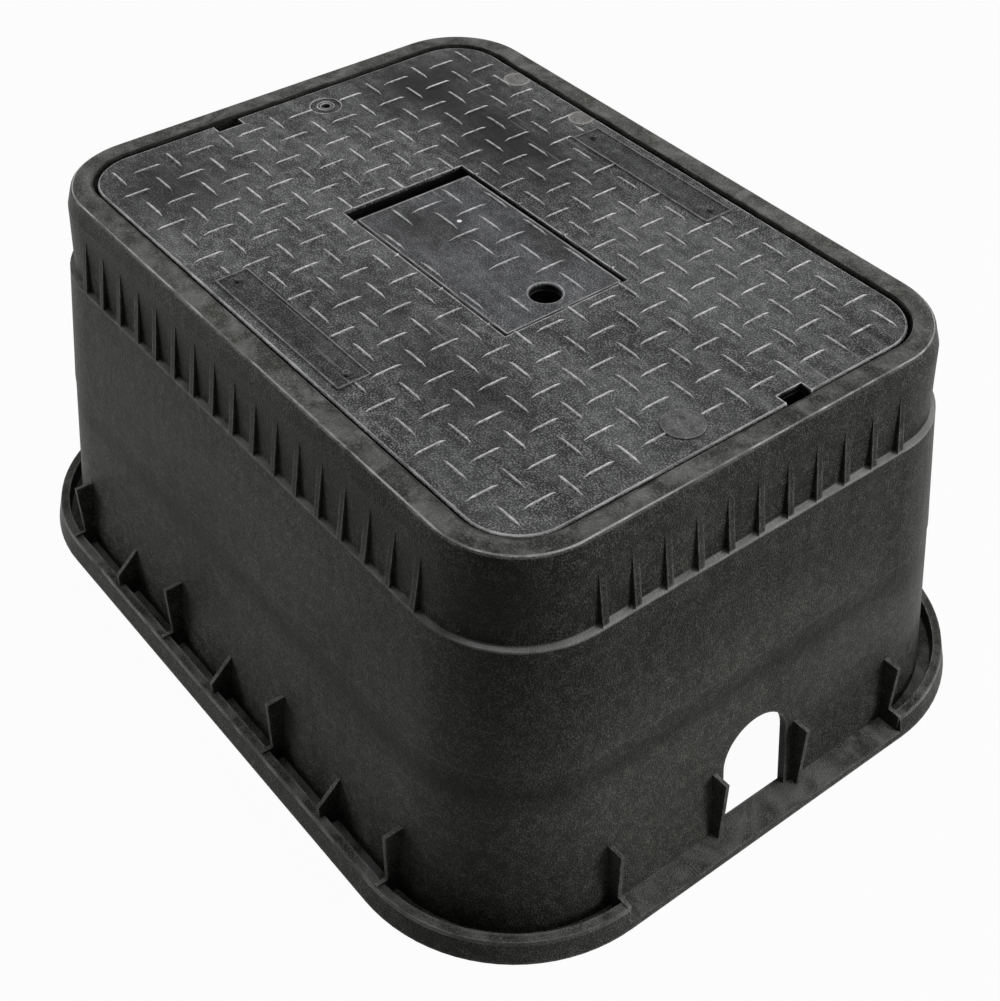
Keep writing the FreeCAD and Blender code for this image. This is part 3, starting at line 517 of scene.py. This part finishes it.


# colours are linear, lengths are metres, and a scale is how many features fit in a metre
# patches: centre, reach along X, Y and Z (0 is endless), softness of the edge, tone, amount
# lines: an outline, how far outside it, half width, levels, tone, amount
# calm: the outline of a smooth darker place where nothing is rubbed
# spots: place and radius of a round dried mark
# an outline is its middle, half spans and corner radius

# the box: painted light on what faces up, painted shade and painted light in patches, painted shade
# in the gap inside the rim, and wear with painted highlights along the rim, the ledge and the base
rimOutline = ((0.0, 0.0, 0.0), (0.26765, 0.1941, 0.0), 0.0610)
mouthOutline = ((0.0, 0.0, 0.0), (0.2523, 0.1773, 0.0), 0.0420)
flangeOutline = ((0.0, 0.0, 0.0), (0.26765, 0.1941, 0.0), 0.0635)
boxSet = {
    "dark": (0.0105, 0.0105, 0.0092),
    "pale": (0.130, 0.130, 0.129),
    "lighterTone": (0.052, 0.052, 0.049),
    "fleckAndGlint": (0.190, 0.188, 0.172),
    "wornAndHighlight": (0.420, 0.420, 0.415),
    "streak": (0.045, 0.045, 0.043),
    "specular": 0.04,
    "roughSpan": (0.36, 0.60),
    "grainScale": 880.0,
    "grainAndGlintMix": 0.50,
    "grainBump": 1.0,
    "bumpDepth": 0.0009,
    "cloudScale": 5.0,
    "cloudCover": 0.46,
    "cloudMix": 0.50,
    "streakTurn": (0.0, 0.0, 0.0),
    "streakStretch": (5.0, 5.0, 0.9),
    "streakScale": 9.0,
    "streakMix": 0.22,
    "upMix": 0.58,
    "wearAndHighlightWidth": 0.0024,
    "wearAndHighlightMix": 0.20,
}
boxMarks = {
    "patches": [
        # painted shade: a dark band round the walls under the step at mid height
        ((0.0, 0.0, 0.128), (0.0, 0.0, 0.017), 0.9, "dark", 0.55),
        # painted light: a paler band on the far half of the wall at +X, where its slope faces up
        ((0.300, 0.090, 0.090), (0.060, 0.110, 0.045), 0.9, "lighterTone", 0.45),
        ((0.0, -0.21, 0.190), (0.24, 0.10, 0.035), 0.9, "lighterTone", 0.25),
        # painted shade on the near corner of the collar
        ((0.262, -0.190, 0.280), (0.040, 0.040, 0.050), 0.8, "dark", 0.60),
        ((0.300, 0.0, 0.2412), (0.100, 0.400, 0.0022), 0.9, "wornAndHighlight", 0.55),
        # painted shade on the collar along the -Y side
        ((0.0, -0.200, 0.272), (0.400, 0.030, 0.034), 0.6, "dark", 0.50),
    ],
    "lines": [
        # painted shade in the gap inside the rim, then wear with painted highlights along the rim's
        # edge, the ledge and the flange lip
        (mouthOutline, 0.0004, 0.0013, (0.2800, 0.3100), "dark", 0.95),
        (rimOutline, -0.0012, 0.0006, (0.3030, 0.3100), "wornAndHighlight", 0.65),
        (rimOutline, 0.0094, 0.0030, (0.2395, 0.2420), "wornAndHighlight", 0.25),
        (flangeOutline, 0.0592, 0.0026, (0.0150, 0.0190), "wornAndHighlight", 0.40),
    ],
    "calm": [],
}
dressNode("box_body", makePlastic("boxPlastic", boxSet, boxMarks))

# the cover: rubbed tread, painted reflection and painted shade in wide patches, wear with painted
# highlight along its edge, two bare panels and a bare disc, two dried spots
coverOutline = ((0.0, 0.0, 0.0), (0.24925, 0.17425, 0.0), 0.0390)
coverSet = {
    "dark": (0.0050, 0.0051, 0.0050),
    "lighterTone": (0.050, 0.051, 0.052),
    "fleckAndGlint": (0.215, 0.216, 0.218),
    "wornAndHighlight": (0.620, 0.620, 0.615),
    "streak": (0.095, 0.096, 0.098),
    "specular": 0.06,
    "roughSpan": (0.30, 0.56),
    "grainScale": 880.0,
    "grainAndGlintMix": 0.85,
    "grainBump": 1.0,
    "bumpDepth": 0.0004,
    "cloudScale": 6.5,
    "cloudCover": 0.55,
    "cloudMix": 0.30,
    "streakTurn": (0.0, 0.0, 0.35),
    "streakStretch": (1.0, 6.0, 1.0),
    "streakScale": 10.0,
    "streakMix": 0.45,
    "wearAndHighlightWidth": 0.0014,
    "wearAndHighlightMix": 0.90,
    "raisedSpan": (0.30400, 0.30470),
    "raisedTop": 0.3050,
    "raisedMix": 0.90,
    "scratchMix": 0.10,
    "deepShadeSpan": (0.3003, 0.3020),
}
coverMarks = {
    "patches": [
        # the paler patches are painted reflection and the darker ones painted shade
        ((-0.130, -0.100, 0.0), (0.120, 0.070, 0.0), 0.8, "lighterTone", 0.15),
        ((-0.190, 0.020, 0.0), (0.060, 0.050, 0.0), 0.8, "lighterTone", 0.12),
        ((0.125, 0.095, 0.0), (0.125, 0.080, 0.0), 0.8, "lighterTone", 0.60),
        ((0.195, -0.020, 0.0), (0.070, 0.060, 0.0), 0.8, "lighterTone", 0.50),
        ((0.170, -0.150, 0.0), (0.080, 0.022, 0.0), 0.8, "lighterTone", 0.55),
        ((-0.110, 0.105, 0.0), (0.130, 0.065, 0.0), 0.8, "dark", 0.92),
        ((-0.205, 0.100, 0.0), (0.065, 0.085, 0.0), 0.8, "dark", 0.88),
        ((0.0, -0.100, 0.0), (0.050, 0.060, 0.0), 0.8, "dark", 0.45),
        ((-0.200, -0.125, 0.0), (0.070, 0.060, 0.0), 0.8, "dark", 0.62),
        ((0.110, -0.105, 0.0), (0.110, 0.050, 0.0), 0.8, "dark", 0.60),
    ],
    "lines": [
        # wear with painted highlight along the cover's edge
        (coverOutline, -0.0010, 0.0006, (0.3015, 0.3100), "wornAndHighlight", 0.60),
    ],
    "calm": [
        ((0.0, -0.1535, 0.0), (0.0743, 0.0143, 0.0), 0.0010),
        ((0.0, 0.1535, 0.0), (0.0743, 0.0143, 0.0), 0.0010),
        ((0.2250, -0.0220, 0.0), (0.0150, 0.0150, 0.0), 0.0150),
    ],
    "spots": [((-0.1695, 0.1652), 0.0107), ((-0.0925, 0.1663), 0.0102)],
}
dressNode("cover", makePlastic("coverPlastic", coverSet, coverMarks))

# the reader door: the same plastic with more film, a bare finger hole edge and one pale crumb
doorOutline = ((0.00485, 0.0, 0.0), (0.0854, 0.0497, 0.0), 0.0030)
fingerOutline = ((0.06855, 0.0, 0.0), (0.0112, 0.0112, 0.0), 0.0112)
doorSet = {
    "dark": (0.0065, 0.0066, 0.0070),
    "lighterTone": (0.046, 0.047, 0.050),
    "fleckAndGlint": (0.190, 0.191, 0.198),
    "wornAndHighlight": (0.560, 0.560, 0.565),
    "streak": (0.100, 0.101, 0.106),
    "specular": 0.08,
    "roughSpan": (0.30, 0.52),
    "grainScale": 900.0,
    "grainAndGlintMix": 0.80,
    "grainBump": 0.70,
    "bumpDepth": 0.0004,
    "cloudScale": 9.0,
    "cloudCover": 0.55,
    "cloudMix": 0.40,
    "streakTurn": (0.0, 0.0, 0.2),
    "streakStretch": (1.0, 5.0, 1.0),
    "streakScale": 14.0,
    "streakMix": 0.40,
    "wearAndHighlightWidth": 0.0014,
    "wearAndHighlightMix": 0.90,
    "raisedSpan": (0.30280, 0.30350),
    "raisedTop": 0.3050,
    "raisedMix": 0.90,
    "scratchMix": 0.16,
    "deepShadeSpan": (0.2993, 0.3008),
}
doorMarks = {
    "patches": [
        ((0.030, -0.020, 0.0), (0.055, 0.032, 0.0), 0.8, "lighterTone", 0.45),
        ((-0.030, 0.020, 0.0), (0.060, 0.030, 0.0), 0.8, "lighterTone", 0.35),
        ((-0.050, -0.020, 0.0), (0.045, 0.045, 0.0), 0.9, "dark", 0.60),
        ((0.020, 0.042, 0.0), (0.070, 0.022, 0.0), 0.9, "dark", 0.60),
        ((-0.0348, 0.0071, 0.3023), (0.0016, 0.0016, 0.0016), 0.2, "wornAndHighlight", 1.00),
    ],
    "lines": [
        # wear with painted highlight along the door's edge, painted shade in the gap round the
        # door, wear with painted highlight round the finger hole
        (doorOutline, -0.0020, 0.0006, (0.3000, 0.3100), "wornAndHighlight", 0.40),
        (doorOutline, -0.0001, 0.0014, (0.2900, 0.3100), "dark", 1.00),
        (fingerOutline, 0.0010, 0.0006, (0.3000, 0.3100), "wornAndHighlight", 0.35),
    ],
    "calm": [fingerOutline],
}
dressNode("reader_door", makePlastic("doorPlastic", doorSet, doorMarks))


# the camera of the photograph, metres and degrees
cameraSet = {
    "place": (0.7418, -0.5676, 0.9167),
    "azimuth": 50.711,
    "elevation": 42.340,
    "roll": 1.029,
    "lens": 58.306,
    "shiftX": -0.0220,
    "shiftY": 0.0033,
}


def makeCamera():
    azimuth, elevation = math.radians(cameraSet["azimuth"]), math.radians(cameraSet["elevation"])
    level = math.cos(elevation)
    back = Vector((math.sin(azimuth) * level, -math.cos(azimuth) * level, math.sin(elevation)))
    right = Vector((0, 0, 1)).cross(back).normalized()
    up = back.cross(right)
    roll = math.radians(cameraSet["roll"])
    tiltedRight = right * math.cos(roll) + up * math.sin(roll)
    tiltedUp = up * math.cos(roll) - right * math.sin(roll)
    turn = Matrix((tiltedRight, tiltedUp, back)).transposed()
    bpy.ops.object.camera_add(location=cameraSet["place"], rotation=turn.to_euler())
    camera = bpy.context.object
    camera.name = "photoCamera"
    camera.data.lens = cameraSet["lens"]
    camera.data.shift_x = cameraSet["shiftX"]
    camera.data.shift_y = cameraSet["shiftY"]
    bpy.context.scene.camera = camera
    print("camera placed")


# the studio: a pale floor, a lamp above and two at the sides, so the near corner stays dark
# under the box the floor is dark, except where the near pipe arch shows it
studioSet = {
    "floorSize": 14.0,
    "floorDrop": 0.0003,
    "floorColour": (0.30, 0.30, 0.30),
    "floorGlow": 0.965,
    "insideOutline": ((0.0, 0.0, 0.0), (0.3020, 0.2285, 0.0), 0.0970),
    "archOutline": ((0.2500, 0.0350, 0.0), (0.0600, 0.0850, 0.0), 0.0200),
    "white": (1.0, 1.0, 1.0, 1.0),
    "worldLight": 0.06,
    "aim": (0.0, 0.0, 0.15),
    "lamps": {
        "topLamp": {"place": (0.05, 0.30, 2.2), "size": 1.2, "power": 42.0},
        "leftLamp": {"place": (-1.6, -1.4, 0.8), "size": 1.1, "power": 27.0},
        "rightLamp": {"place": (1.8, 1.2, 0.8), "size": 1.1, "power": 36.0},
    },
}


def addSeen(tree):  # 1 for a ray of the camera, of a reflection or through glass
    path = addNode(tree, "ShaderNodeLightPath")
    seen = addMath(tree, "ADD", path.outputs["Is Camera Ray"], path.outputs["Is Glossy Ray"])
    return addMath(tree, "ADD", seen, path.outputs["Is Transmission Ray"], clamp=True)


def blendShaders(tree, share, first, second, outputKind):
    blend = addNode(tree, "ShaderNodeMixShader")
    link(tree, share, blend.inputs["Fac"])
    link(tree, first, blend.inputs[1])
    link(tree, second, blend.inputs[2])
    output = addNode(tree, outputKind)
    link(tree, blend.outputs["Shader"], output.inputs["Surface"])


def makeFloor():
    place = (0, 0, -studioSet["floorDrop"])
    bpy.ops.mesh.primitive_plane_add(size=studioSet["floorSize"], location=place)
    floor = bpy.context.object
    floor.name = "studioFloor"
    material = bpy.data.materials.new("paleFloor")
    material.use_nodes = True
    tree = material.node_tree
    tree.nodes.clear()
    matt = addNode(tree, "ShaderNodeBsdfDiffuse")
    matt.inputs["Color"].default_value = (*studioSet["floorColour"], 1.0)
    glow = addNode(tree, "ShaderNodeEmission")
    glow.inputs["Color"].default_value = studioSet["white"]
    where = addNode(tree, "ShaderNodeTexCoord").outputs["Object"]
    covered, lit = [
        addMath(tree, "LESS_THAN", addDistance(tree, where, studioSet[name]), 0.0)
        for name in ("insideOutline", "archOutline")
    ]
    covered = multiply(tree, covered, leftOver(tree, lit))
    share = multiply(tree, addSeen(tree), studioSet["floorGlow"])
    share = multiply(tree, share, leftOver(tree, covered))
    blendShaders(
        tree, share, matt.outputs["BSDF"], glow.outputs["Emission"], "ShaderNodeOutputMaterial"
    )
    floor.data.materials.append(material)
    print("floor laid")


def makeWorld():
    world = bpy.data.worlds.new("paleStudio")
    bpy.context.scene.world = world
    world.use_nodes = True
    tree = world.node_tree
    tree.nodes.clear()
    soft = addNode(tree, "ShaderNodeBackground")
    white = addNode(tree, "ShaderNodeBackground")
    for background in (soft, white):
        background.inputs["Color"].default_value = studioSet["white"]
    soft.inputs["Strength"].default_value = studioSet["worldLight"]
    blendShaders(
        tree,
        addSeen(tree),
        soft.outputs["Background"],
        white.outputs["Background"],
        "ShaderNodeOutputWorld",
    )


def addLamp(name, values):
    bpy.ops.object.light_add(type="AREA", location=values["place"])
    lamp = bpy.context.object
    lamp.name = name
    lamp.data.shape = "DISK"
    lamp.data.size = values["size"]
    lamp.data.energy = values["power"]
    aim = Vector(studioSet["aim"]) - Vector(values["place"])
    lamp.rotation_euler = aim.to_track_quat("-Z", "Y").to_euler()


bpy.context.scene.view_settings.view_transform = "Standard"
makeCamera()
makeFloor()
makeWorld()
for lampName, lampValues in studioSet["lamps"].items():
    addLamp(lampName, lampValues)
print("studio lit")
